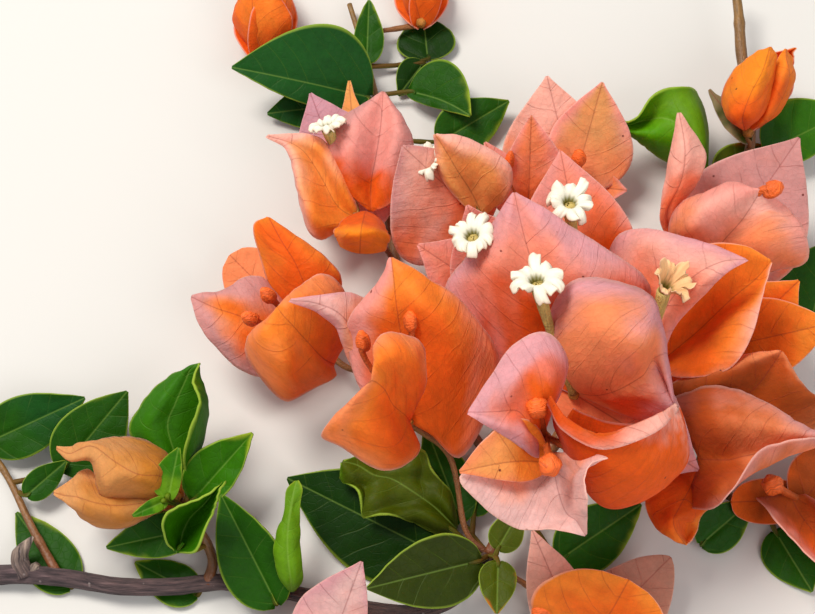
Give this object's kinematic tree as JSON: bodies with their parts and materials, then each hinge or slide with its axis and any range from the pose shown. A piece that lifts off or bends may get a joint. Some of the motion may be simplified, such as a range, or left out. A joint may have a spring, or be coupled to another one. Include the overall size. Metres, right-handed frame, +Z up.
{
  "type": "cut flowering bougainvillea branch",
  "caption": "Cut branch of bougainvillea lying down: woody stem, side stems, papery salmon-orange bracts round small cream tubular flowers, closed heads and green leaves.",
  "frame": {"origin": "bottom centre of the whole branch as it lies, on the surface that it lies on", "axes": "+Z up; +X from the cut end of the woody stem along the branch; +Y across it, towards the side stem with the closed heads at its tip"},
  "size_m": [0.1782, 0.1646, 0.0462],
  "materials": {
    "bark": "rough fissured grey-brown bark",
    "young_stem": "smooth satin red-brown to green stem",
    "leaf": "satin green leaf with paler veins and edge",
    "bract_pink": "papery salmon pink, thin and lit through",
    "bract_orange": "papery orange, thin and lit through",
    "flower": "matte cream petals",
    "flower_tube": "matte ribbed orange-olive tube and bud"
  },
  "bodies": {
    "root": {"stem_woody": "bark", "stem_flowering": "young_stem", "stem_left": "young_stem", "stem_top_right": "young_stem", "stem_right": "young_stem", "stem_bud_shoot": "young_stem", "stem_left_twig": "young_stem", "stem_middle": "young_stem", "bloom_front": "bract_pink", "bloom_center": "bract_pink", "bloom_left": "bract_orange", "bloom_right": "bract_orange", "bloom_low_right": "bract_orange", "bloom_back_right": "bract_pink", "bloom_high": "bract_pink", "bloom_mid_left": "bract_pink", "bloom_upper_left": "bract_orange", "bloom_far_right": "bract_orange", "bloom_back_left": "bract_pink", "bloom_far_left": "bract_orange", "bloom_slim": "bract_pink", "bloom_top": "bract_pink", "bloom_low_far_right": "bract_orange", "bloom_bottom": "bract_orange", "bloom_bottom_left": "bract_pink", "head_top_right": "bract_orange", "head_left": "bract_orange", "head_top_left": "bract_orange", "head_top": "bract_orange", "leaf_bud_upright": "leaf", "leaf_bud_right": "leaf", "leaf_bud_front": "leaf", "leaf_bud_low": "leaf", "leaf_stem_large": "leaf", "leaf_far_left": "leaf", "leaf_left_round": "leaf", "leaf_left_small": "leaf", "leaf_under_stem": "leaf", "leaf_under_knot": "leaf", "leaf_pair_bud": "leaf", "leaf_wavy": "leaf", "leaf_dark_wide": "leaf", "leaf_folded": "leaf", "leaf_olive": "leaf", "leaf_pair_node": "leaf", "leaf_pair_behind": "leaf", "leaf_below_bloom": "leaf", "leaf_pair_top_left": "leaf", "leaf_top_upright": "leaf", "leaf_pair_top": "leaf", "leaf_top_dark": "leaf", "leaf_top_low": "leaf", "leaf_right_curled": "leaf", "leaf_right_round": "leaf", "leaf_right_edge": "leaf", "leaf_far_right": "leaf", "leaf_low_right": "leaf", "leaf_low_edge": "leaf"}
  },
  "joints": []
}
